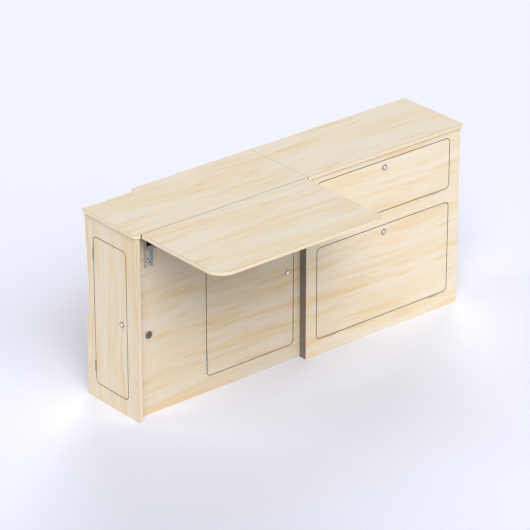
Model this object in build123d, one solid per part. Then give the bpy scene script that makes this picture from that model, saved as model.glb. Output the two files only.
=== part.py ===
"""Van side cabinet with an end locker, a recessed locker under a folding worktop leaf, and two flaps.

The origin is on the floor, in the middle of the cabinet's length and of its depth.
X runs along the cabinet from its left end, Y from its front to the van's wall, and Z up.
"""
import os
from dataclasses import dataclass
from math import atan2, cos, degrees, hypot, pi, sin

from build123d import *

# Boards and the whole body
board = 18.0
body_length = 1800.0
body_depth = 378.0
body_height = 852.0
worktop_board = 18.0
overrun = 5.0

left_x = -body_length / 2
right_x = body_length / 2
front_y = -body_depth / 2
rear_y = body_depth / 2

# Body parts that step back from the front and from the wall
recess_depth = 40.0
waist_depth = 333.0
foot_step = 19.0
foot_height = 365.0
foot_slope_height = 23.0
worktop_step = 17.0
worktop_slope_height = 292.0
end_bay_width = 250.0
right_cabinet_width = 888.0

inner_left_x = left_x + board
inner_right_x = right_x - board
side_x = right_x - right_cabinet_width
recess_y = front_y + recess_depth
recess_back_y = recess_y + board
bay_x = inner_left_x + end_bay_width
end_depth = waist_depth + foot_step
worktop_end_depth = waist_depth + worktop_step
waist_low_z = foot_height + foot_slope_height
waist_high_z = body_height - worktop_slope_height

# Worktop
side_overhang = 10.0
front_overhang = 8.5
worktop_left_corner = 25.0
worktop_right_corner = 10.0
edge_round = 1.5
worktop_front_y = front_y - front_overhang

# Folding leaf
leaf_seam = 1.5
leaf_reach = 498.5
leaf_left_gap = 2.0
leaf_right_gap = 14.0
leaf_left_corner = 80.0
leaf_right_corner = 40.0
leaf_rear_y = worktop_front_y - leaf_seam
leaf_front_y = leaf_rear_y - leaf_reach
leaf_left_x = inner_left_x + leaf_left_gap
leaf_right_x = side_x - leaf_right_gap

# Base, rails and middle shelf
rail_height = 70.0
floor_bolt_radius = 4.25
floor_bolt_spacing_x = 1400.0
floor_bolt_spacing_y = 200.0
wall_bolt_radius = 3.25
wall_bolt_spacing = 1000.0
wall_bolt_drop = 35.0

# Door and flap openings, measured from the body's own faces
door_gap = 3.0
door_corner = 20.0
door_edge_round = 0.8
end_opening_front = 71.5
end_opening_rear = 38.0
end_opening_low = 76.5
end_opening_drop = 88.0
recess_opening_left = 393.5
recess_opening_right = 36.5
recess_opening_low = 72.5
recess_opening_drop = 174.5
flap_opening_left = 59.0
flap_opening_right = 61.0
upper_opening_drop = 30.0
between_flaps = 64.0
lower_opening_low = 75.0
lower_opening_height = 440.0
recess_lock_lift = 51.0

end_opening_width = waist_depth - end_opening_front - end_opening_rear
end_opening_height = body_height - end_opening_drop - end_opening_low
recess_opening_width = side_x - left_x - recess_opening_left - recess_opening_right
recess_opening_height = body_height - recess_opening_drop - recess_opening_low
flap_opening_width = right_cabinet_width - flap_opening_left - flap_opening_right
lower_opening_top = lower_opening_low + lower_opening_height
upper_opening_low = lower_opening_top + between_flaps
upper_opening_height = body_height - upper_opening_drop - upper_opening_low
shelf_z = lower_opening_top + (between_flaps - board) / 2

# Butt hinges
hinge_plate = 1.2
hinge_plate_depth = 14.0
hinge_plate_clearance = 0.3
barrel_radius = 2.75
hinge_pin_radius = 1.4
running_clearance = 0.05
knuckle_gap = 0.3
middle_knuckle_share = 0.4
end_hinge_length = 50.0
end_hinge_inset = 58.0
recess_hinge_length = 84.0
recess_hinge_inset = 29.0
flap_hinge_length = 46.0
flap_hinge_inset = 64.0

# Cam locks
lock_inset = 32.0
rosette_radius = 13.5
rosette_height = 3.0
rosette_round = 1.2
sleeve_radius = 10.5
nut_radius = 15.0
nut_thickness = 4.0
plug_radius = 8.7
plug_reach = 4.0
plug_round = 1.2
key_slot_width = 1.4
key_slot_length = 7.0
key_slot_depth = 3.0
tail_width = 7.0
cam_screw_radius = 5.5
cam_screw_head = 2.5
cam_standoff = 6.0
cam_thickness = 2.0
cam_width = 14.0
cam_overlap = 8.0
striker_width = 40.0
striker_margin = 4.0
striker_clearance = 0.5
cam_reach = lock_inset + door_gap + cam_overlap
cam_front = -board - cam_standoff
cam_back = cam_front - cam_thickness
striker_thickness = cam_standoff - striker_clearance
striker_reach = cam_overlap + striker_margin

# Folding brackets under the leaf
bracket_inset = 67.0
bracket_steel = 1.5
pivot_depth = 30.0
pivot_drop = 12.0
leg_width = 36.0
leg_flange = 16.0
leg_top_gap = 4.0
leg_tail = 86.0
leg_arm_clearance = 1.0
arm_start = 42.0
arm_half_depth = 7.5
arm_tip_depth = 6.0
arm_taper_margin = 16.0
arm_taper = 60.0
pivot_pin_radius = 3.0
pin_head_radius = 5.0
pin_head = 1.5
brace_drop = 65.0
brace_reach = 126.5
brace_half_depth = 6.8
brace_side_clearance = 1.5
brace_pin_radius = 2.5
prop_pin_radius = 3.0
notch_clearance = 0.8
notch_exit_shares = (0.28, 0.61)
block_side_clearance = 1.0
block_front_gap = 3.0
block_brace_gap = 8.5
screw_head_radius = 3.5
screw_head_height = 1.2
screw_offset = 9.5
screw_shares = ((-1, 0.62), (0, 0.77), (1, 0.89))

pivot_y = front_y + pivot_depth
pivot_z = body_height - pivot_drop
leg_rise = pivot_drop - leg_top_gap
leg_drop = brace_drop + leg_tail
arm_width = leg_width - 2 * bracket_steel - 2 * leg_arm_clearance
arm_room = arm_width - 2 * bracket_steel
brace_width = arm_room - 2 * brace_side_clearance
block_width = arm_room - 2 * block_side_clearance
brace_length = hypot(brace_drop, brace_reach)
brace_rise = atan2(brace_drop, brace_reach)
folded_reach = brace_drop + brace_length
arm_taper_start = folded_reach + arm_taper_margin
arm_length = arm_taper_start + arm_taper

# Cable port in the recess
port_from_left = 87.0
port_z = 372.5
port_radius = 17.5
port_rim = 3.0
port_bore_radius = 13.0
port_wall = 2.0
port_round = 1.0
port_cap_sink = 1.0


@dataclass
class Door:
    """A door or flap and the opening it fits.

    The plane sits at the middle of the opening's hinge edge, on the cabinet's face:
    its X runs to the lock's edge, its Y along the hinge edge and its Z outwards.
    """

    name: str
    plane: Plane
    reach: float
    span: float
    hinge_length: float
    hinge_inset: float
    lock_lift: float = 0.0

    def place(self, shape):
        return self.plane.location * shape

    def hinge_places(self):
        across = self.span / 2 - self.hinge_inset - self.hinge_length / 2
        return [Pos(door_gap / 2, side * across, 0) for side in (-1, 1)]

    def lock_place(self):
        return Pos(self.reach - door_gap - lock_inset, self.lock_lift, 0)

    def lock_edge_place(self):
        return Pos(self.reach - door_gap, self.lock_lift, 0)


end_door = Door(
    name="end_door",
    plane=Plane(
        origin=(
            left_x,
            front_y + end_opening_front + end_opening_width,
            end_opening_low + end_opening_height / 2,
        ),
        x_dir=(0, -1, 0),
        z_dir=(-1, 0, 0),
    ),
    reach=end_opening_width,
    span=end_opening_height,
    hinge_length=end_hinge_length,
    hinge_inset=end_hinge_inset,
)
recess_door = Door(
    name="recess_door",
    plane=Plane(
        origin=(
            left_x + recess_opening_left,
            recess_y,
            recess_opening_low + recess_opening_height / 2,
        ),
        x_dir=(1, 0, 0),
        z_dir=(0, -1, 0),
    ),
    reach=recess_opening_width,
    span=recess_opening_height,
    hinge_length=recess_hinge_length,
    hinge_inset=recess_hinge_inset,
    lock_lift=recess_lock_lift,
)


def flap(name, low_z, height):
    """A flap of the right cabinet, hinged along its lower edge."""
    return Door(
        name=name,
        plane=Plane(
            origin=(side_x + flap_opening_left + flap_opening_width / 2, front_y, low_z),
            x_dir=(0, 0, 1),
            z_dir=(0, -1, 0),
        ),
        reach=height,
        span=flap_opening_width,
        hinge_length=flap_hinge_length,
        hinge_inset=flap_hinge_inset,
    )


upper_flap = flap("upper_flap", upper_opening_low, upper_opening_height)
lower_flap = flap("lower_flap", lower_opening_low, lower_opening_height)
doors = (end_door, recess_door, upper_flap, lower_flap)


def block(low, high):
    """A plain board or bar between its lowest and highest corners."""
    size = [b - a for a, b in zip(low, high)]
    middle = [(a + b) / 2 for a, b in zip(low, high)]
    return Pos(*middle) * Box(*size)


def rod(radius, low, high):
    """A round bar along Z between two heights."""
    return Pos(0, 0, (low + high) / 2) * Cylinder(radius, high - low)


def cross_rod(radius, width):
    """A round bar along X, centred on the origin."""
    return Rot(0, 90, 0) * Cylinder(radius, width)


def opening_cut(door):
    """What a door's opening takes out of its board."""
    outline = RectangleRounded(door.reach, door.span, door_corner + door_gap)
    slab = Pos(door.reach / 2, 0, -board - overrun) * extrude(outline, amount=board + 2 * overrun)
    return door.place(slab)


def front_edges(solid, door):
    """The edges of a solid that lie in a door's outer face and inside its opening."""
    chosen = []
    for edge in solid.edges():
        at = door.plane.to_local_coords(edge.center())
        ends = [door.plane.to_local_coords(v.center()) for v in edge.vertices()]
        flat = all(abs(p.Z) < running_clearance for p in ends + [at])
        inside = -door_gap < at.X < door.reach + door_gap and abs(at.Y) < door.span / 2 + door_gap
        if flat and inside:
            chosen.append(edge)
    return chosen


def end_panel_left():
    """The left end's board: its rear edge follows the van's wall and clears its sill."""
    points = [
        (front_y, 0),
        (front_y + end_depth, 0),
        (front_y + end_depth, foot_height),
        (front_y + waist_depth, waist_low_z),
        (front_y + waist_depth, waist_high_z),
        (front_y + worktop_end_depth, body_height),
        (front_y, body_height),
    ]
    outline = Plane.YZ * make_face(Polyline(*points, close=True))
    panel = Pos(left_x, 0, 0) * extrude(outline, amount=board, dir=(1, 0, 0))
    panel -= opening_cut(end_door)
    return fillet(front_edges(panel, end_door), door_edge_round)


def recess_panel():
    panel = block((inner_left_x, recess_y, 0), (side_x, recess_back_y, body_height))
    panel -= opening_cut(recess_door)
    panel = fillet(front_edges(panel, recess_door), door_edge_round)
    return panel - port_place() * rod(port_bore_radius + port_wall, -board - overrun, overrun)


def front_panel_right():
    panel = block((side_x, front_y, 0), (right_x, front_y + board, body_height))
    for door in (upper_flap, lower_flap):
        panel -= opening_cut(door)
        panel = fillet(front_edges(panel, door), door_edge_round)
    return panel


def side_board(x):
    """An upright board of the right cabinet, behind its front."""
    return block((x, front_y + board, 0), (x + board, rear_y, body_height))


def partition_left():
    return block((bay_x, recess_back_y, board), (bay_x + board, rear_y, body_height))


def base_left():
    base = block((inner_left_x, recess_back_y, 0), (side_x, rear_y, board))
    base -= block(
        (inner_left_x - overrun, front_y + end_depth, -overrun), (bay_x, rear_y + overrun, board + overrun)
    )
    return base - floor_bolt_holes()


def base_right():
    base = block((side_x + board, front_y + board, 0), (inner_right_x, rear_y, board))
    return base - floor_bolt_holes()


def floor_bolt_holes():
    places = GridLocations(floor_bolt_spacing_x, floor_bolt_spacing_y, 2, 2)
    return [place * rod(floor_bolt_radius, -overrun, board + overrun) for place in places]


def mid_shelf_right():
    return block(
        (side_x + board, front_y + board, shelf_z), (inner_right_x, rear_y - board, shelf_z + board)
    )


def rail(low_x, high_x, back_y, low_z):
    return block((low_x, back_y - board, low_z), (high_x, back_y, low_z + rail_height))


def upper_rail(low_x, high_x, back_y):
    """An upper rail, with its bolt hole to the van's wall where one falls in it."""
    bar = rail(low_x, high_x, back_y, body_height - rail_height)
    for side in (-1, 1):
        x = side * wall_bolt_spacing / 2
        if back_y == rear_y and low_x < x < high_x:
            hole = Rot(90, 0, 0) * Cylinder(wall_bolt_radius, board + 2 * overrun)
            bar -= Pos(x, back_y - board / 2, body_height - wall_bolt_drop) * hole
    return bar


def rounded_top(outline, corners, thickness):
    """A worktop board from its outline: some corners rounded, then its long edges eased."""
    for point, radius in corners:
        near = outline.vertices().sort_by_distance((*point, 0))[0]
        outline = fillet(near, radius)
    slab = Pos(0, 0, body_height) * extrude(outline, amount=thickness)
    flat = slab.faces().filter_by(Axis.Z)
    return fillet(flat.edges(), edge_round)


def worktop_left():
    points = [
        (left_x - side_overhang, worktop_front_y),
        (side_x, worktop_front_y),
        (side_x, rear_y),
        (bay_x, rear_y),
        (bay_x, front_y + worktop_end_depth),
        (left_x - side_overhang, front_y + worktop_end_depth),
    ]
    outline = make_face(Polyline(*points, close=True))
    return rounded_top(outline, [(points[0], worktop_left_corner)], worktop_board)


def worktop_right():
    low = (side_x, worktop_front_y)
    high = (right_x + side_overhang, rear_y)
    outline = make_face(Polyline(low, (high[0], low[1]), high, (low[0], high[1]), close=True))
    return rounded_top(outline, [((high[0], low[1]), worktop_right_corner)], worktop_board)


def table_leaf():
    points = [
        (leaf_left_x, leaf_front_y),
        (leaf_right_x, leaf_front_y),
        (leaf_right_x, leaf_rear_y),
        (leaf_left_x, leaf_rear_y),
    ]
    outline = make_face(Polyline(*points, close=True))
    corners = [(points[0], leaf_left_corner), (points[1], leaf_right_corner)]
    return rounded_top(outline, corners, worktop_board)


def door_panel(door):
    """A door's board, with the hole for its lock and an eased outer edge."""
    reach = door.reach - 2 * door_gap
    outline = RectangleRounded(reach, door.span - 2 * door_gap, door_corner)
    slab = Pos(door.reach / 2, 0, -board) * extrude(outline, amount=board)
    slab = fillet(slab.faces().sort_by(Axis.Z)[-1].edges(), door_edge_round)
    slab -= door.lock_place() * rod(sleeve_radius, -board - overrun, overrun)
    return door.place(slab)


def hinge_leaf(length, side):
    """One leaf of a butt hinge and its knuckles: side -1 is the frame's and 1 the door's.

    The gap's middle is at X zero, the hinge runs along Y and the barrel stands out along Z.
    """
    outer = side * door_gap / 2
    inner = outer - side * hinge_plate
    low_x, high_x = sorted((outer, inner))
    middle = length * middle_knuckle_share
    if side < 0:
        knuckle = (length - middle) / 2 - knuckle_gap
        centres = [-(length - knuckle) / 2, (length - knuckle) / 2]
        bore = hinge_pin_radius
    else:
        knuckle = middle
        centres = [0]
        bore = hinge_pin_radius + running_clearance
    leaf = block((low_x, -length / 2, -hinge_plate_depth), (high_x, length / 2, -hinge_plate_clearance))
    for centre in centres:
        neck = block(
            (low_x, centre - knuckle / 2, -hinge_plate_depth), (high_x, centre + knuckle / 2, barrel_radius)
        )
        tube = Rot(90, 0, 0) * Cylinder(barrel_radius, knuckle)
        leaf += neck + Pos(0, centre, barrel_radius) * tube
    hole = Rot(90, 0, 0) * Cylinder(bore, length + 2 * overrun)
    return leaf - Pos(0, 0, barrel_radius) * hole


def frame_hinges(door):
    """The hinge leaves that are screwed to the frame, and the pins held in them."""
    pin = Pos(0, 0, barrel_radius) * Rot(90, 0, 0) * Cylinder(hinge_pin_radius, door.hinge_length)
    parts = []
    for place in door.hinge_places():
        parts.append(door.place(place * hinge_leaf(door.hinge_length, -1)))
        parts.append(door.place(place * pin))
    return parts


def door_hinges(door):
    return [door.place(place * hinge_leaf(door.hinge_length, 1)) for place in door.hinge_places()]


def lock_body(door):
    """The lock's ring and its sleeve through the door, and the nut that holds it behind."""
    ring = rod(rosette_radius, 0, rosette_height)
    ring = fillet(ring.faces().sort_by(Axis.Z)[-1].edges(), rosette_round)
    ring += rod(sleeve_radius, cam_front + running_clearance, 0)
    ring -= rod(plug_radius + running_clearance, cam_front - overrun, rosette_height + overrun)
    nut = Pos(0, 0, -board - nut_thickness) * extrude(RegularPolygon(nut_radius, 6), amount=nut_thickness)
    nut -= rod(sleeve_radius, -board - nut_thickness - overrun, overrun)
    return [door.place(door.lock_place() * part) for part in (ring, nut)]


def lock_plug(door):
    """The plug with its key slot, its square tail and the screw that holds the cam."""
    plug = rod(plug_radius, cam_front, plug_reach)
    plug = fillet(plug.faces().sort_by(Axis.Z)[-1].edges(), plug_round)
    plug -= block(
        (-key_slot_width / 2, -key_slot_length / 2, plug_reach - key_slot_depth),
        (key_slot_width / 2, key_slot_length / 2, plug_reach + overrun),
    )
    half = tail_width / 2
    plug += block((-half, -half, cam_back), (half, half, cam_front))
    plug += rod(cam_screw_radius, cam_back - cam_screw_head, cam_back)
    return door.place(door.lock_place() * plug)


def lock_cam(door):
    """The cam behind the door, turned along the lock's edge so that the door is free."""
    outline = Circle(cam_width / 2) + Pos(0, cam_reach / 2) * Rectangle(cam_width, cam_reach)
    outline -= Rectangle(tail_width, tail_width)
    return door.place(door.lock_place() * Pos(0, 0, cam_back) * extrude(outline, amount=cam_thickness))


def striker(door):
    """The block behind the frame that the cam turns behind."""
    low = (door_gap, -striker_width / 2, -board - striker_thickness)
    return door.place(
        door.lock_edge_place() * block(low, (door_gap + striker_reach, striker_width / 2, -board))
    )


def bracket_xs():
    return {"left": leaf_left_x + bracket_inset, "right": leaf_right_x - bracket_inset}


def side_plates(outline, width):
    """The two flanges of a channel across X, from an outline in Y and Z."""
    plate = extrude(Plane.YZ * outline, amount=bracket_steel, dir=(1, 0, 0))
    return Pos(-width / 2, 0, 0) * plate + Pos(width / 2 - bracket_steel, 0, 0) * plate


def pinned(radius, width):
    """A pin across a channel, with a head outside each flange."""
    pin = cross_rod(radius, width + 2 * pin_head)
    for side in (-1, 1):
        pin += Pos(side * (width + pin_head) / 2, 0, 0) * cross_rod(pin_head_radius, pin_head)
    return pin


def bracket_leg(x):
    """The upright channel on the recess's board, with the pins of the arm and of the brace."""
    wall = recess_y - pivot_y
    half = leg_width / 2
    leg = block((-half, wall - bracket_steel, -leg_drop), (half, wall, leg_rise))
    for low_x in (-half, half - bracket_steel):
        leg += block((low_x, wall - leg_flange, -leg_drop), (low_x + bracket_steel, wall, leg_rise))
    leg -= cross_rod(pivot_pin_radius, leg_width + 2 * overrun)
    leg -= Pos(0, 0, -brace_drop) * cross_rod(brace_pin_radius, leg_width + 2 * overrun)
    pivot_pin = pinned(pivot_pin_radius, leg_width)
    brace_pin = Pos(0, 0, -brace_drop) * pinned(brace_pin_radius, leg_width)
    return [Pos(x, pivot_y, pivot_z) * part for part in (leg, pivot_pin, brace_pin)]


def bracket_block(x):
    """The bearing block round the arm's pin, between the arm's flanges and above the brace."""
    wall = recess_y - pivot_y
    half = block_width / 2
    low = (-half, wall - leg_flange + block_front_gap, -brace_drop + brace_half_depth + block_brace_gap)
    bearing = block(low, (half, wall - bracket_steel, leg_rise))
    bearing -= cross_rod(pivot_pin_radius + running_clearance, leg_width)
    return Pos(x, pivot_y, pivot_z) * bearing


def brace_pin_in_arm(turn_share):
    """Where the brace's upper pin is along the arm and above its line, partway down the fold."""
    fold = turn_share * pi / 2
    swing = brace_rise - turn_share * (pi / 2 + brace_rise)
    out = brace_length * cos(swing)
    up = brace_length * sin(swing) - brace_drop
    return out * cos(fold) - up * sin(fold), out * sin(fold) + up * cos(fold)


def prop_notch(seat_share, exit_share):
    """The open notch that a prop pin rests in: round at its seat and slanted to its way out."""
    room = prop_pin_radius + notch_clearance
    below = -arm_half_depth - overrun
    seat = brace_pin_in_arm(seat_share)
    way_out = brace_pin_in_arm(exit_share)
    along, down = way_out[0] - seat[0], way_out[1] - seat[1]
    slant = hypot(along, down)
    side = 1 if along > 0 else -1
    lift = (-side * down / slant * room, side * along / slant * room)
    straight = seat[0] - side * room
    points = [
        (-straight, below),
        (-straight, seat[1]),
        (-seat[0] - lift[0], seat[1] + lift[1]),
        (-way_out[0] - lift[0], way_out[1] + lift[1]),
        (-way_out[0] - lift[0], below),
    ]
    return make_face(Polyline(*points, close=True)) + Pos(-seat[0], seat[1]) * Circle(room)


def bracket_arm(x):
    """The channel under the leaf: its web is on the leaf and its flanges reach the pivot.

    The brace's pin props the arm in one open notch when the leaf is up and rests in the other
    when it hangs. The short notch near the pivot clears the leg's lower pin.
    """
    points = [
        (0, -arm_half_depth),
        (-arm_taper_start, -arm_half_depth),
        (-arm_length, pivot_drop - arm_tip_depth),
        (-arm_length, pivot_drop),
        (-arm_start, pivot_drop),
        (-arm_start, arm_half_depth),
        (0, arm_half_depth),
    ]
    outline = make_face(Polyline(*points, close=True)) + Circle(arm_half_depth)
    outline -= Circle(pivot_pin_radius + running_clearance)
    pin_room = brace_pin_radius + notch_clearance
    outline -= Pos(-brace_drop, 0) * Circle(pin_room)
    outline -= Pos(-brace_drop, -arm_half_depth) * Rectangle(2 * pin_room, 2 * arm_half_depth)
    for seat_share, exit_share in zip((0, 1), notch_exit_shares):
        outline -= prop_notch(seat_share, exit_share)
    arm = side_plates(outline, arm_width)
    arm += block(
        (-arm_width / 2, -arm_length, pivot_drop - bracket_steel), (arm_width / 2, -arm_start, pivot_drop)
    )
    return Pos(x, pivot_y, pivot_z) * arm


def bracket_brace(x):
    """The brace from the leg's lower pin up to the arm, with the pin that props the arm."""
    middle = Pos(-brace_length / 2, 0)
    outline = middle * Rectangle(brace_length, 2 * brace_half_depth)
    outline += Circle(brace_half_depth) + Pos(-brace_length, 0) * Circle(brace_half_depth)
    outline -= Circle(brace_pin_radius + running_clearance)
    bar = side_plates(outline, brace_width)
    bar += block(
        (-brace_width / 2, -brace_length + brace_half_depth, -brace_half_depth),
        (brace_width / 2, -brace_half_depth, -brace_half_depth + bracket_steel),
    )
    bar += Pos(0, -brace_length, 0) * cross_rod(prop_pin_radius, arm_width)
    return Pos(x, pivot_y, pivot_z - brace_drop) * Rot(-degrees(brace_rise), 0, 0) * bar


def bracket_screws():
    """The screw heads that hold each leg to the recess's board."""
    face_y = recess_y - bracket_steel
    heads = []
    for x in bracket_xs().values():
        for side, share in screw_shares:
            head = Rot(90, 0, 0) * rod(screw_head_radius, 0, screw_head_height)
            heads.append(Pos(x + side * screw_offset, face_y, pivot_z - share * leg_drop) * head)
    return heads


def port_place():
    """The middle of the cable port, on the recess's face, with Z outwards."""
    middle = (left_x + port_from_left, recess_y, port_z)
    return Plane(origin=middle, x_dir=(1, 0, 0), z_dir=(0, -1, 0)).location


def cable_port_ring():
    ring = rod(port_radius, 0, port_rim)
    ring = fillet(ring.faces().sort_by(Axis.Z)[-1].edges(), port_round)
    ring += rod(port_bore_radius + port_wall, -board, 0)
    return port_place() * (ring - rod(port_bore_radius, -board - overrun, port_rim + overrun))


def cable_port_cap():
    return port_place() * rod(port_bore_radius - running_clearance, -board, port_rim - port_cap_sink)


def write(name, shape):
    """Write one node: a single solid, or the separate solids of a group."""
    node = Compound(children=shape) if isinstance(shape, list) else shape
    node.label = name
    export_step(node, f"parts/{name}.step")


def nodes():
    """Every node of the cabinet by its name."""
    found = {
        "end_panel_left": end_panel_left(),
        "end_panel_right": side_board(inner_right_x),
        "inner_side_panel": side_board(side_x),
        "partition_left": partition_left(),
        "recess_panel": recess_panel(),
        "front_panel_right": front_panel_right(),
        "base_left": base_left(),
        "base_right": base_right(),
        "mid_shelf_right": mid_shelf_right(),
        "worktop_left": worktop_left(),
        "worktop_right": worktop_right(),
        "table_leaf": table_leaf(),
        "bracket_screws": bracket_screws(),
        "cable_port_ring": cable_port_ring(),
        "cable_port_cap": cable_port_cap(),
    }
    bays = {
        "end": (inner_left_x, bay_x, front_y + waist_depth),
        "left": (bay_x + board, side_x, rear_y),
        "right": (side_x + board, inner_right_x, rear_y),
    }
    for bay, (low_x, high_x, back_y) in bays.items():
        found[f"back_rail_upper_{bay}"] = upper_rail(low_x, high_x, back_y)
        found[f"back_rail_lower_{bay}"] = rail(low_x, high_x, back_y, board)
    for side, x in bracket_xs().items():
        found[f"bracket_leg_{side}"] = bracket_leg(x)
        found[f"bracket_block_{side}"] = bracket_block(x)
        found[f"bracket_arm_{side}"] = bracket_arm(x)
        found[f"bracket_brace_{side}"] = bracket_brace(x)
    for door in doors:
        found[f"{door.name}_panel"] = door_panel(door)
        found[f"{door.name}_frame_hinges"] = frame_hinges(door)
        found[f"{door.name}_hinges"] = door_hinges(door)
        found[f"{door.name}_lock_body"] = lock_body(door)
        found[f"{door.name}_lock_plug"] = lock_plug(door)
        found[f"{door.name}_lock_cam"] = lock_cam(door)
        found[f"{door.name}_striker"] = striker(door)
    return found


os.makedirs("parts", exist_ok=True)
for name, shape in nodes().items():
    write(name, shape)
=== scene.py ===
# %% [markdown]
# # A van side cabinet in pale wood laminate
# The cabinet's boards, doors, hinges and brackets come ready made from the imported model, at their
# real size. This lesson gives them their finishes, and sets up a plain studio with the camera at
# the photograph's angle.

# %% Load the frame
import math

import bmesh
import bpy
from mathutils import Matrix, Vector


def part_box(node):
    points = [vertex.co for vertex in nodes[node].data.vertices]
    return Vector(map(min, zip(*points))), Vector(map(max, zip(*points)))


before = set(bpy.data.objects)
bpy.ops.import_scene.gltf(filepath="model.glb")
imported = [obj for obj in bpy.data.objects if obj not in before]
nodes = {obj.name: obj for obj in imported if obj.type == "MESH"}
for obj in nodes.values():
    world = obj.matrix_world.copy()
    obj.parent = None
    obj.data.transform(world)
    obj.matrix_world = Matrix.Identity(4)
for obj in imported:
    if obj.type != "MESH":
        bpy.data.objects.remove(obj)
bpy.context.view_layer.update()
print("the model has", len(nodes), "nodes")

# %% [markdown]
# ## The camera
# The photograph was taken from a long way off with a long lens, so lines that run the same way
# stay nearly parallel. The place, turn and lens come from fitting the cabinet's straight edges.
# A new camera looks straight down, so it is first tipped up until it is level, then down again by
# its own angle. Angles are in degrees, and a turn to the right is negative.

# %% Camera
CAMERA_PLACE = (-8.1256, -9.6673, 6.4443)
CAMERA_TURN = -39.840
CAMERA_LOOK_DOWN = 25.616
CAMERA_LENS = 219.82
SENSOR_WIDTH = 36.0
CAMERA_REACH = 200.0
LEVEL = math.pi / 2

camera_data = bpy.data.cameras.new("camera")
camera_data.lens = CAMERA_LENS
camera_data.sensor_width = SENSOR_WIDTH
camera_data.clip_end = CAMERA_REACH
camera = bpy.data.objects.new("camera", camera_data)
camera.location = CAMERA_PLACE
camera.rotation_euler = (LEVEL - math.radians(CAMERA_LOOK_DOWN), 0, math.radians(CAMERA_TURN))
bpy.context.scene.collection.objects.link(camera)
bpy.context.scene.camera = camera
print("the camera stands", round(camera.location.length, 2), "m from the cabinet")

# %% [markdown]
# ## Colours
# Colours are written here as a screen shows them, from 0 to 255, because that is easy to read.
# Blender's shaders work in linear light, so each colour is put through the screen's own curve: a
# straight piece for the darkest steps and a power curve for the rest.

# %% Screen colours
SCREEN_STEPS = 255
DARK_LIMIT = 0.04045
DARK_SLOPE = 12.92
CURVE_OFFSET = 0.055
CURVE_POWER = 2.4


def linear_light(step):
    """A screen step from 0 to 1 as linear light."""
    if step <= DARK_LIMIT:
        return step / DARK_SLOPE
    return ((step + CURVE_OFFSET) / (1 + CURVE_OFFSET)) ** CURVE_POWER


def srgb(red, green, blue):
    """A colour as a screen shows it, from 0 to 255, for a shader."""
    return (*[linear_light(value / SCREEN_STEPS) for value in (red, green, blue)], 1.0)


print("a screen's middle grey is", round(srgb(128, 128, 128)[0], 3), "in linear light")

# %% [markdown]
# ## Building materials from nodes
# Every finish here is a small network of shader nodes. It could be drawn by hand in the shader
# editor. Written out, one grain can serve many boards. Short helpers keep each network readable.
# One object holds a material, and feeds a socket in the same way with a number, a colour or another
# node's output. The helpers after it work with numbers, make patterns and mix colours.

# %% A finish and its nodes
class Finish:
    """A new material and its Principled shader."""

    def __init__(self, name):
        self.material = bpy.data.materials.new(name)
        self.material.use_nodes = True
        self.tree = self.material.node_tree
        self.shader = self.tree.nodes["Principled BSDF"]

    def add(self, kind, **settings):
        """Adds a node and sets its options."""
        node = self.tree.nodes.new(kind)
        for setting, value in settings.items():
            setattr(node, setting, value)
        return node

    def feed(self, socket, value):
        """Joins a socket to another node's output, or gives it a number or a colour."""
        if isinstance(value, bpy.types.NodeSocket):
            self.tree.links.new(value, socket)
        else:
            socket.default_value = value

    def set(self, name, value):
        """Feeds one of the shader's own sockets."""
        self.feed(self.shader.inputs[name], value)

    def read(self, kind):
        """The surface's own Object place or Normal."""
        return self.add("ShaderNodeTexCoord").outputs[kind]


def paint(finish, *names):
    """Gives a finish to CAD nodes."""
    for name in names:
        nodes[name].data.materials.clear()
        nodes[name].data.materials.append(finish.material)


print("a finish can be painted on any of the nodes")


# %% Numbers from nodes
def calculate(finish, operation, *values):
    """The result of a Math node."""
    node = finish.add("ShaderNodeMath", operation=operation)
    for socket, value in zip(node.inputs, values):
        finish.feed(socket, value)
    return node.outputs[0]


def calculate_vector(finish, operation, first, second):
    """The result of a Vector Math node."""
    node = finish.add("ShaderNodeVectorMath", operation=operation)
    finish.feed(node.inputs[0], first)
    finish.feed(node.inputs[1], second)
    return node.outputs[0]


def between(finish, value, low, high):
    """1 where a value lies between two limits."""
    above = calculate(finish, "GREATER_THAN", value, low)
    below = calculate(finish, "LESS_THAN", value, high)
    return calculate(finish, "MULTIPLY", above, below)


def smooth_step(finish, value, limits):
    """0 below the lower limit, 1 above the upper one and a smooth step between."""
    node = finish.add("ShaderNodeMapRange", interpolation_type="SMOOTHSTEP")
    finish.feed(node.inputs["Value"], value)
    finish.feed(node.inputs["From Min"], limits[0])
    finish.feed(node.inputs["From Max"], limits[1])
    return node.outputs["Result"]


print("nodes can be added up and compared")


# %% Patterns from nodes
def mapped(finish, vector, **changes):
    """A vector moved by a Location or multiplied by a Scale along each axis."""
    node = finish.add("ShaderNodeMapping")
    finish.feed(node.inputs["Vector"], vector)
    for name, value in changes.items():
        finish.feed(node.inputs[name], value)
    return node.outputs["Vector"]


def noise(finish, vector, scale=1.0, detail=2.0, roughness=0.5, output="Fac"):
    """Soft random clouds, with a scale that says how many fit in a metre."""
    node = finish.add("ShaderNodeTexNoise")
    finish.feed(node.inputs["Vector"], vector)
    finish.feed(node.inputs["Scale"], scale)
    finish.feed(node.inputs["Detail"], detail)
    finish.feed(node.inputs["Roughness"], roughness)
    return node.outputs[output]


def bump(finish, height, strength, distance):
    """Lets the light catch a pattern as if it stood out by a distance."""
    node = finish.add("ShaderNodeBump")
    finish.feed(node.inputs["Height"], height)
    finish.feed(node.inputs["Strength"], strength)
    finish.feed(node.inputs["Distance"], distance)
    finish.set("Normal", node.outputs["Normal"])


print("nodes can make clouds and bumps")

# %% Mixed colours
# A Mix node has sockets for numbers, vectors and colours. These are the ones for colours.
MIX_COLOUR_INPUTS = (6, 7)
MIX_COLOUR_OUTPUT = 2


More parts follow.
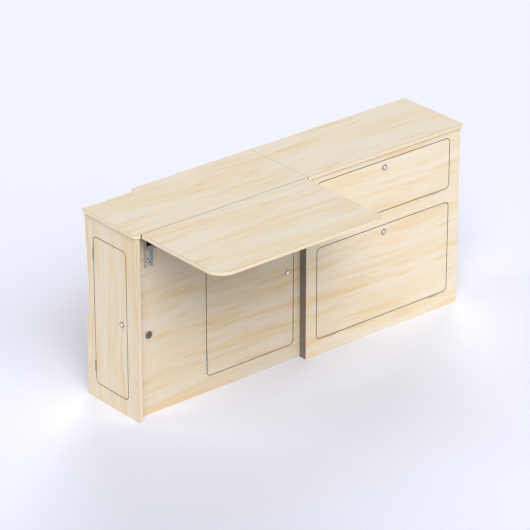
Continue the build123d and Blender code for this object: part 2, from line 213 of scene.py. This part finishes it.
def blend(finish, amount, first, second, way="MIX"):
    """A colour on the way from the first to the second."""
    node = finish.add("ShaderNodeMix", data_type="RGBA", blend_type=way)
    finish.feed(node.inputs["Factor"], amount)
    for index, colour in zip(MIX_COLOUR_INPUTS, (first, second)):
        finish.feed(node.inputs[index], colour)
    return node.outputs[MIX_COLOUR_OUTPUT]


def dimmed(finish, colour, tone):
    """A colour with each channel multiplied by a tone's."""
    return blend(finish, 1.0, colour, tone, way="MULTIPLY")


print("nodes can mix colours")

# %% [markdown]
# ## Pale wood laminate
# The boards are covered in a printed laminate: a cream ground, soft peach flames along the grain,
# thin veins between them and fine fibres that show only close up. A photograph of wood could be
# laid on the boards, but it would repeat, and noise doesn't. Noise that is squeezed across the
# grain gives the flames, and a slow, wide noise that is added to the place first makes them wander
# as real growth rings do. All of it reads the place on the cabinet, so the grain runs on from a
# board into the door that is cut from it.

# %% Grain that wanders
AXES = "XYZ"
DRIFT_WAVES = (1.5, 2.4)
DRIFT_DETAIL = 1.0
DRIFT_REACH = 0.13
NOISE_MIDDLE = (0.5, 0.5, 0.5)


def grain_size(grain_axis, along, across):
    """One size along the grain and another across it."""
    return tuple(along if axis == grain_axis else across for axis in AXES)


def wandering(finish, grain_axis, shift):
    """The place on a board, which drifts sideways slowly as growth rings do."""
    place = mapped(finish, finish.read("Object"), Location=shift)
    slow = mapped(finish, place, Scale=grain_size(grain_axis, *DRIFT_WAVES))
    drift = noise(finish, slow, detail=DRIFT_DETAIL, output="Color")
    centred = calculate_vector(finish, "SUBTRACT", drift, NOISE_MIDDLE)
    reach = grain_size(grain_axis, 0.0, DRIFT_REACH)
    sideways = calculate_vector(finish, "MULTIPLY", centred, reach)
    return calculate_vector(finish, "ADD", place, sideways)


print("the grain drifts", round(DRIFT_REACH / 2 * 1000), "mm to each side at the most")

# %% [markdown]
# ## Four patterns in one grain
# Each pattern has its own number of waves in a metre, along the grain and across it. Broad patches
# change the ground from pale to cream, flames are narrower, and fibres are the finest. The veins
# are a sine of the growth pattern, so they run as contour lines, like the arches in a sawn board,
# and they show only in some of the patches.

# %% Patterns of the grain
PATCHES = {"waves": (1.0, 9.0), "detail": 2.0, "roughness": 0.5}
FLAMES = {"waves": (1.7, 34.0), "detail": 3.0, "roughness": 0.6}
GROWTH = {"waves": (0.6, 8.0), "detail": 1.0, "roughness": 0.5}
FIBRES = {"waves": (6.0, 380.0), "detail": 2.0, "roughness": 0.6}


def grain_noise(finish, place, grain_axis, waves, detail, roughness):
    """Noise with its own number of waves along the grain and across it."""
    squeezed = mapped(finish, place, Scale=grain_size(grain_axis, *waves))
    return noise(finish, squeezed, detail=detail, roughness=roughness)


print("the fibres repeat every", round(1000 / FIBRES["waves"][1], 1), "mm")

# %% Wood colours
CREAM = srgb(243, 226, 198)
PALE = srgb(244, 231, 213)
PEACH = srgb(240, 211, 164)
VEIN = srgb(230, 203, 160)
FIBRE = srgb(222, 197, 156)
CREAM_LIMITS = (0.34, 0.66)
FLAME_LIMITS = (0.45, 0.72)
FLAME_SHARE = 0.9
CONTOUR_TURNS = 80.0
VEIN_LIMITS = (0.45, 1.0)
VEIN_PATCH_LIMITS = (0.42, 0.6)
VEIN_SHARE = 0.32
FIBRE_LIMITS = (0.5, 0.8)
FIBRE_SHARE = 0.2


def faint_step(finish, value, limits, share):
    """A smooth step that reaches only a share of its full height."""
    return calculate(finish, "MULTIPLY", smooth_step(finish, value, limits), share)


def wood_colour(finish, grain_axis, shift):
    """The laminate's printed wood, and its fibres for the bump."""
    place = wandering(finish, grain_axis, shift)
    patches, flames, growth, fibres = [
        grain_noise(finish, place, grain_axis, **pattern)
        for pattern in (PATCHES, FLAMES, GROWTH, FIBRES)
    ]
    colour = blend(finish, smooth_step(finish, patches, CREAM_LIMITS), PALE, CREAM)
    warm = faint_step(finish, flames, FLAME_LIMITS, FLAME_SHARE)
    colour = blend(finish, warm, colour, PEACH)
    contours = calculate(finish, "SINE", calculate(finish, "MULTIPLY", growth, CONTOUR_TURNS))
    veins = faint_step(finish, contours, VEIN_LIMITS, VEIN_SHARE)
    veined = smooth_step(finish, patches, VEIN_PATCH_LIMITS)
    colour = blend(finish, calculate(finish, "MULTIPLY", veins, veined), colour, VEIN)
    fine = faint_step(finish, fibres, FIBRE_LIMITS, FIBRE_SHARE)
    return blend(finish, fine, colour, FIBRE), fibres


print("the wood mixes five colours")

# %% [markdown]
# ## Edges of the boards
# Every board carries a plain pale band on its edges, with a fine darker line where the band meets
# the face. The doors are cut out of their boards, and there the saw leaves the brown core bare. The
# core's brown is dark, and it also stands for the shade inside the gaps round the doors, so they
# read as dark lines. The seams between the worktops and the leaf are bare and darkened the same
# way. The edges could be modelled as strips of their own. Here the material finds them: an edge by
# its normal, which looks across the board, and a bare cut by a box round it.

# %% Places on a board
CUT_MARGIN = 0.006


def split(finish, vector):
    """The X, Y and Z of a vector."""
    node = finish.add("ShaderNodeSeparateXYZ")
    finish.feed(node.inputs[0], vector)
    return node.outputs


def cut_box(low, high, margin):
    """A box that is a margin wider on every side."""
    grow = Vector((margin, margin, margin))
    return low - grow, high + grow


def door_cuts(doors):
    """The boxes in which the cuts round some doors lie."""
    return [cut_box(*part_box(door), CUT_MARGIN) for door in doors]


def in_box(finish, place, face_axis, box):
    """1 inside a box, seen square on to the board's face."""
    inside = 1.0
    for index, axis in enumerate(AXES):
        if axis != face_axis:
            within = between(finish, place[axis], box[0][index], box[1][index])
            inside = calculate(finish, "MULTIPLY", within, inside)
    return inside


print("a cut's box is", CUT_MARGIN * 1000, "mm wider than its door on each side")

# %% Edge bands and bare cuts
BAND = srgb(245, 227, 200)
BAND_LINE = srgb(190, 170, 140)
# The bare core's brown, dark enough to paint the shade inside the gaps and seams.
CORE_AND_GAP_SHADE = srgb(74, 57, 40)
LINE_START = 0.0005
LINE_END = 0.0019
EDGE_LIMIT = 0.7


def with_edges(finish, colour, face_axis, face_place, cuts):
    """Puts the band on the edges and the dark core, which paints the gaps' shade, at cuts. Says
    where.
    """
    facing = calculate(finish, "ABSOLUTE", split(finish, finish.read("Normal"))[face_axis])
    is_edge = calculate(finish, "LESS_THAN", facing, EDGE_LIMIT)
    place = split(finish, finish.read("Object"))
    from_face = calculate(finish, "SUBTRACT", place[face_axis], face_place)
    depth = calculate(finish, "ABSOLUTE", from_face)
    edge = blend(finish, between(finish, depth, LINE_START, LINE_END), BAND, BAND_LINE)
    is_cut = 0.0
    for cut in cuts:
        is_cut = calculate(finish, "MAXIMUM", in_box(finish, place, face_axis, cut), is_cut)
    bare = calculate(finish, "MULTIPLY", is_edge, is_cut)
    return blend(finish, bare, blend(finish, is_edge, colour, edge), CORE_AND_GAP_SHADE), bare


print("the line at a band is", round((LINE_END - LINE_START) * 1000, 1), "mm wide")

# %% [markdown]
# ## Satin gloss
# The laminate is satin. Its printed fibres are very slightly raised, so one pattern moves both the
# gloss and the bump, and a bare cut is fully rough.

# %% Gloss of the laminate
SATIN_ROUGHNESS = 0.42
SATIN_SWING = 0.08
LAMINATE_SPECULAR = 0.3
FIBRE_STRENGTH = 0.1
FIBRE_HEIGHT = 0.0004


def finish_board(finish, colour, fibres, bare):
    """Gives a laminate its colour, its satin gloss and a trace of its fibres."""
    finish.set("Base Color", colour)
    satin = calculate(finish, "MULTIPLY_ADD", fibres, SATIN_SWING, SATIN_ROUGHNESS)
    finish.set("Roughness", calculate(finish, "MAXIMUM", satin, bare))
    finish.set("Specular IOR Level", LAMINATE_SPECULAR)
    bump(finish, fibres, FIBRE_STRENGTH, FIBRE_HEIGHT)


print("the laminate's roughness starts at", SATIN_ROUGHNESS)

# %% [markdown]
# ## Worktops and leaf
# The two worktops and the folding leaf share one laminate, with the grain along the cabinet. Their
# faces are toned a touch greyer: partly their own greyer tint and partly painted shade that keeps
# the tops darker than the fronts. Below they have a brown backing sheet, dark enough that it also
# deepens the shade under the leaf and the overhangs. The seams lie where the leaf meets the worktop
# and where the two worktops are butted.

# %% Worktops
TOP_SHIFT = (0.0, 0.0, 0.35)
TOP_TINT_AND_SHADE = srgb(238, 240, 241)
# A brown backing sheet, painted dark so that it also deepens the shade under the leaf and
# overhangs.
BACKING_AND_SHADE = srgb(112, 96, 78)
SEAM_MARGIN = 0.0025
DOWN_LIMIT = -0.9

leaf_low, leaf_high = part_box("table_leaf")
butt_low, butt_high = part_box("worktop_right")
seams = [
    cut_box(Vector((leaf_low.x, leaf_high.y, 0)), leaf_high, SEAM_MARGIN),
    cut_box(butt_low, Vector((butt_low.x, butt_high.y, 0)), SEAM_MARGIN),
]
tops = Finish("pale_laminate_top")
top_colour, top_fibres = wood_colour(tops, "X", TOP_SHIFT)
# Partly a greyer tint and partly painted shade: the tone darkens the tops against the fronts.
top_colour = dimmed(tops, top_colour, TOP_TINT_AND_SHADE)
top_colour, top_bare = with_edges(tops, top_colour, "Z", butt_high.z, seams)
upwards = split(tops, tops.read("Normal"))["Z"]
looks_down = calculate(tops, "LESS_THAN", upwards, DOWN_LIMIT)
# Faces that look down get the dark backing, which also stands in for shade below the tops.
finish_board(tops, blend(tops, looks_down, top_colour, BACKING_AND_SHADE), top_fibres, top_bare)
paint(tops, "worktop_left", "worktop_right", "table_leaf")
print("the worktops' face is at z =", round(butt_high.z, 3))

# %% [markdown]
# ## Fronts
# The front boards and their doors have the grain lengthways too. The board in the recess and its
# door are toned a touch greyer as painted shade, for the shade that falls into the recess. The two
# flaps look like the front board, which comes in a later step because its material needs a grey
# edge as well.

# %% Recessed board and flaps
FRONT_SHIFT = (-2.04, 1.78, -2.17)
RECESS_SHADE_TONE = srgb(242, 242, 243)
FLAPS = ["upper_flap_panel", "lower_flap_panel"]


def front_board(name, face_y, doors):
    """A front's laminate, and its look before the gloss goes on."""
    finish = Finish(name)
    colour, fibres = wood_colour(finish, "X", FRONT_SHIFT)
    colour, bare = with_edges(finish, colour, "Y", face_y, door_cuts(doors))
    return finish, {"colour": colour, "fibres": fibres, "bare": bare}


recess_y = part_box("recess_panel")[0].y
front_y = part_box("front_panel_right")[0].y
recess, recess_look = front_board("pale_laminate_recess", recess_y, ["recess_door_panel"])
# Painted shade: the recess board and its door are toned darker for the shade in the recess.
recess_look["colour"] = dimmed(recess, recess_look["colour"], RECESS_SHADE_TONE)
finish_board(recess, **recess_look)
paint(recess, "recess_panel", "recess_door_panel")
flap_finish, flap_look = front_board("pale_laminate_flap", front_y, FLAPS)
finish_board(flap_finish, **flap_look)
paint(flap_finish, *FLAPS)
print("the recess lies", round((recess_y - front_y) * 1000), "mm behind the front")

# %% [markdown]
# ## Ends
# The end boards and the tall end door stand upright, and so does their grain. The fine line at
# the band is drawn at the left end, which shows, and the right end has plain bands.

# %% End boards
END_SHIFT = (0.31, 0.05, 0.0)
END_SHADE_TONE = srgb(248, 248, 249)

left_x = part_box("end_panel_left")[0].x
ends = Finish("pale_laminate_end")
end_colour, end_fibres = wood_colour(ends, "Z", END_SHIFT)
end_colour, end_bare = with_edges(ends, end_colour, "X", left_x, door_cuts(["end_door_panel"]))
# Painted shade: the ends and the end door are toned a little darker than the fronts.
finish_board(ends, dimmed(ends, end_colour, END_SHADE_TONE), end_fibres, end_bare)
paint(ends, "end_panel_left", "end_panel_right", "end_door_panel")
print("the left end's face is at x =", round(left_x, 3))

# %% [markdown]
# ## The grey return at the recess
# Where the right cabinet steps forward of the recess, its narrow side lies in shade, and that shade
# is painted on as a dark grey face. The front board's own left edge is part of that strip, so its
# material turns grey on the face that looks left, and the board behind it is grey all over.

# %% Grey return
# Painted shade: two greys for the narrow return, which lies in shade.
RETURN_SHADE_DARK = srgb(131, 122, 111)
RETURN_SHADE_LIGHT = srgb(141, 132, 120)
GREY_CLOUDS = {"scale": 38.0, "detail": 3.0, "roughness": 0.6}
CLOUD_LIMITS = (0.3, 0.7)
GREY_ROUGHNESS = 0.5
EDGE_DEPTH = 0.0005


def clouded(finish, light, dark, limits, **clouds):
    """Two colours in faint clouds, and the clouds themselves."""
    cloud = noise(finish, finish.read("Object"), **clouds)
    return blend(finish, smooth_step(finish, cloud, limits), light, dark), cloud


def painted_return_shade(finish):
    """Painted shade: a dark grey with a faint mottle, for the return's shade."""
    return clouded(finish, RETURN_SHADE_DARK, RETURN_SHADE_LIGHT, CLOUD_LIMITS, **GREY_CLOUDS)[0]


side_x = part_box("inner_side_panel")[0].x
front, front_look = front_board("pale_laminate_front", front_y, FLAPS)
across = split(front, front.read("Object"))["X"]
# Painted shade: the board's left edge, part of the return, turns the grey of the return's shade.
return_shade_edge = calculate(front, "LESS_THAN", across, side_x + EDGE_DEPTH)
front_look["colour"] = blend(front, return_shade_edge, front_look["colour"], painted_return_shade(front))
finish_board(front, **front_look)
paint(front, "front_panel_right")

# Painted shade: the board behind is dark grey all over for the return's shade.
return_shade_board = Finish("painted_return_shade")
return_shade_board.set("Base Color", painted_return_shade(return_shade_board))
return_shade_board.set("Roughness", GREY_ROUGHNESS)
paint(return_shade_board, "inner_side_panel")
print("the return at x =", round(side_x, 3), "is grey")

# %% [markdown]
# ## Plain inner boards
# The partition, base boards, shelf and rails don't show while the doors are shut, and a maker saves
# money there: a plain pale board with a faint fleck, matt and without streaks.

# %% Carcase boards
BOARD_LIGHT = srgb(226, 208, 180)
BOARD_DARK = srgb(218, 198, 168)
BOARD_CLOUDS = {"scale": 9.0, "detail": 2.0, "roughness": 0.5}
FLECK = srgb(196, 172, 138)
FLECKS = {"scale": 260.0, "detail": 4.0, "roughness": 0.7}
FLECK_LIMITS = (0.55, 0.7)
FLECK_STRENGTH = 0.15
FLECK_HEIGHT = 0.0003
BOARD_ROUGHNESS = 0.65

inner = Finish("plain_board")
inner_colour = clouded(inner, BOARD_LIGHT, BOARD_DARK, CLOUD_LIMITS, **BOARD_CLOUDS)[0]
fleck = noise(inner, inner.read("Object"), **FLECKS)
inner.set("Base Color", blend(inner, smooth_step(inner, fleck, FLECK_LIMITS), inner_colour, FLECK))
inner.set("Roughness", BOARD_ROUGHNESS)
bump(inner, fleck, FLECK_STRENGTH, FLECK_HEIGHT)
rails = [name for name in nodes if name.startswith("back_rail")]
paint(inner, "partition_left", "base_left", "base_right", "mid_shelf_right", *rails)
print(len(rails), "rails and the inner boards are plain")

# %% [markdown]
# ## Metal
# The folding brackets and the locks' cams are zinc-plated sheet steel: a satin metal with a faint
# cloudy spangle. The hinges are darker nickel. A lock's ring, sleeve and plug are one chrome,
# painted
# in two shades: the ring and sleeve darker as a painted reflection of shade, and the plug bright as
# a painted reflection of light. Zinc and nickel are only partly metallic, because their plating is
# dull and shows its own grey more than its surroundings.

# %% Metals
SPANGLE_LIMITS = (0.35, 0.65)
SPANGLE_DETAIL = 2.0
SPANGLE_ROUGHNESS = 0.6
SPANGLE_SWING = 0.1


def metal(name, light, dark, roughness, spangles, metallic=1.0):
    """A clouded metal, with a number of spangles in a metre."""
    finish = Finish(name)
    clouds = {"scale": spangles, "detail": SPANGLE_DETAIL, "roughness": SPANGLE_ROUGHNESS}
    colour, cloud = clouded(finish, light, dark, SPANGLE_LIMITS, **clouds)
    finish.set("Base Color", colour)
    finish.set("Roughness", calculate(finish, "MULTIPLY_ADD", cloud, SPANGLE_SWING, roughness))
    finish.set("Metallic", metallic)
    return finish


zinc = metal(
    "zinc_plate", light=srgb(206, 206, 204), dark=srgb(188, 189, 188),
    roughness=0.42, spangles=90.0, metallic=0.45,
)
nickel = metal(
    "satin_nickel", light=srgb(176, 174, 168), dark=srgb(160, 158, 152),
    roughness=0.36, spangles=120.0, metallic=0.6,
)
# Painted reflection: the ring and sleeve get a darker chrome, and the plug a bright one.
chrome = metal(
    "chrome_painted_dark", light=srgb(160, 158, 153), dark=srgb(146, 144, 140),
    roughness=0.16, spangles=60.0,
)
chrome_painted_bright = metal(
    "chrome_painted_bright", light=srgb(242, 239, 230), dark=srgb(232, 230, 222),
    roughness=0.12, spangles=60.0,
)
print("four metals are ready")

# %% [markdown]
# ## Plastic
# The bearing blocks and the lock strikers are black plastic, and the brackets' dark screws share
# that finish. The blocks' black also stands for the deep shade inside the brackets under the leaf.
# The cable port has a grey ring and a darker cap. Moulded plastic has a fine texture from its
# mould, so each gets a tiny, quick noise as a bump.

# %% Plastics
MOULD_TEXTURE = {"scale": 900.0, "detail": 2.0, "roughness": 0.5}
MOULD_STRENGTH = 0.2
MOULD_HEIGHT = 0.0002


def plastic(name, light, dark, roughness):
    """A moulded plastic with a fine texture."""
    finish = Finish(name)
    colour, texture = clouded(finish, light, dark, CLOUD_LIMITS, **MOULD_TEXTURE)
    finish.set("Base Color", colour)
    finish.set("Roughness", roughness)
    bump(finish, texture, MOULD_STRENGTH, MOULD_HEIGHT)
    return finish


black = plastic("black_plastic", light=srgb(44, 45, 48), dark=srgb(36, 37, 40), roughness=0.38)
ring_grey = plastic(
    "grey_plastic_ring", light=srgb(122, 122, 121), dark=srgb(112, 112, 112), roughness=0.4)
cap_grey = plastic(
    "grey_plastic_cap", light=srgb(96, 96, 97), dark=srgb(86, 87, 88), roughness=0.5)
print("three plastics are ready")

# %% Brackets, hinges and locks
DOORS = ("end_door", "recess_door", "upper_flap", "lower_flap")

for side in ("left", "right"):
    paint(zinc, f"bracket_leg_{side}", f"bracket_arm_{side}", f"bracket_brace_{side}")
    # The black blocks are partly painted shade, for the deep shade inside the bracket under the
    # leaf.
    paint(black, f"bracket_block_{side}")
paint(black, "bracket_screws")
for door in DOORS:
    paint(nickel, f"{door}_hinges", f"{door}_frame_hinges")
    # Painted reflections: the lock body gets the darker chrome and the plug the bright one.
    paint(chrome, f"{door}_lock_body")
    paint(chrome_painted_bright, f"{door}_lock_plug")
    paint(zinc, f"{door}_lock_cam")
    paint(black, f"{door}_striker")
paint(ring_grey, "cable_port_ring")
paint(cap_grey, "cable_port_cap")
print("the fittings of", len(DOORS), "doors and two brackets are painted")

# %% [markdown]
# ## The studio floor
# A wide pale floor runs past the picture on every side, so the background is the floor itself. Its
# own colour is a neutral grey, and where the camera sees it, or metal mirrors it, it is a pale
# lavender. It still takes the cabinet's shadow.

# %% Floor
BACKGROUND = srgb(240, 242, 254)
FLOOR_SIZE = 60.0
FLOOR_GREY = (0.84, 0.84, 0.84, 1.0)

floor_mesh = bmesh.new()
bmesh.ops.create_grid(floor_mesh, x_segments=1, y_segments=1, size=FLOOR_SIZE / 2)
floor_data = bpy.data.meshes.new("studio_floor")
floor_mesh.to_mesh(floor_data)
floor_mesh.free()
floor = bpy.data.objects.new("studio_floor", floor_data)
bpy.context.scene.collection.objects.link(floor)
print("the floor is", FLOOR_SIZE, "m wide")


# %% Finish of the floor
def seen_rays(tree):
    """1 for the rays that the camera sends out, straight or by way of metal or glass."""
    rays = tree.nodes.new("ShaderNodeLightPath").outputs
    seen = rays["Is Camera Ray"]
    for kind in ("Is Glossy Ray", "Is Transmission Ray"):
        either = tree.nodes.new("ShaderNodeMath")
        either.operation = "MAXIMUM"
        tree.links.new(seen, either.inputs[0])
        tree.links.new(rays[kind], either.inputs[1])
        seen = either.outputs[0]
    return seen


floor_finish = Finish("studio_floor")
matt = floor_finish.add("ShaderNodeBsdfDiffuse")
floor_colour = blend(floor_finish, seen_rays(floor_finish.tree), FLOOR_GREY, BACKGROUND)
floor_finish.feed(matt.inputs["Color"], floor_colour)
floor_surface = floor_finish.tree.nodes["Material Output"].inputs["Surface"]
floor_finish.feed(floor_surface, matt.outputs[0])
floor_data.materials.append(floor_finish.material)
print("the floor is matt")

# %% [markdown]
# ## World and lamps
# The world is nearly dark as a light, and has the floor's lavender where it is seen above it. A
# soft key lamp from the front left models the faces and draws the leaf's shadow, and a weaker fill
# lamp from straight ahead softens it. Two low lamps from behind light the tops and the left end,
# and lay a shadow in front. Only the key lamp shines on glossy faces, so a lock has one highlight.
# An azimuth of 0 comes from the front, and 90 from the cabinet's right.

# %% World
WORLD_LIGHT = 0.03
WORLD_SEEN = 1.0

world = bpy.data.worlds.new("studio")
bpy.context.scene.world = world
world.use_nodes = True
backdrop = world.node_tree.nodes["Background"]
backdrop.inputs["Color"].default_value = BACKGROUND
strength = world.node_tree.nodes.new("ShaderNodeMapRange")
strength.inputs["To Min"].default_value = WORLD_LIGHT
strength.inputs["To Max"].default_value = WORLD_SEEN
world.node_tree.links.new(seen_rays(world.node_tree), strength.inputs["Value"])
world.node_tree.links.new(strength.outputs["Result"], backdrop.inputs["Strength"])
print("the world lights the cabinet at", WORLD_LIGHT)

# %% Lamps
LAMPS = {
    "key_lamp": {"azimuth": -36, "elevation": 47, "energy": 2.25, "spread": 36},
    "fill_lamp": {"azimuth": 8, "elevation": 36, "energy": 0.8, "spread": 36},
    "back_lamp_right": {"azimuth": 135, "elevation": 22, "energy": 1.8, "spread": 34},
    "back_lamp_left": {"azimuth": 231, "elevation": 22, "energy": 0.85, "spread": 34},
}

for name, lamp in LAMPS.items():
    lamp_data = bpy.data.lights.new(name, "SUN")
    lamp_data.energy = lamp["energy"]
    lamp_data.angle = math.radians(lamp["spread"])
    lamp_object = bpy.data.objects.new(name, lamp_data)
    tilt = LEVEL - math.radians(lamp["elevation"])
    lamp_object.rotation_euler = (tilt, 0, math.radians(lamp["azimuth"]))
    lamp_object.visible_glossy = name == "key_lamp"
    bpy.context.scene.collection.objects.link(lamp_object)

bpy.context.scene.view_settings.view_transform = "Standard"
print("the studio has", len(LAMPS), "lamps")
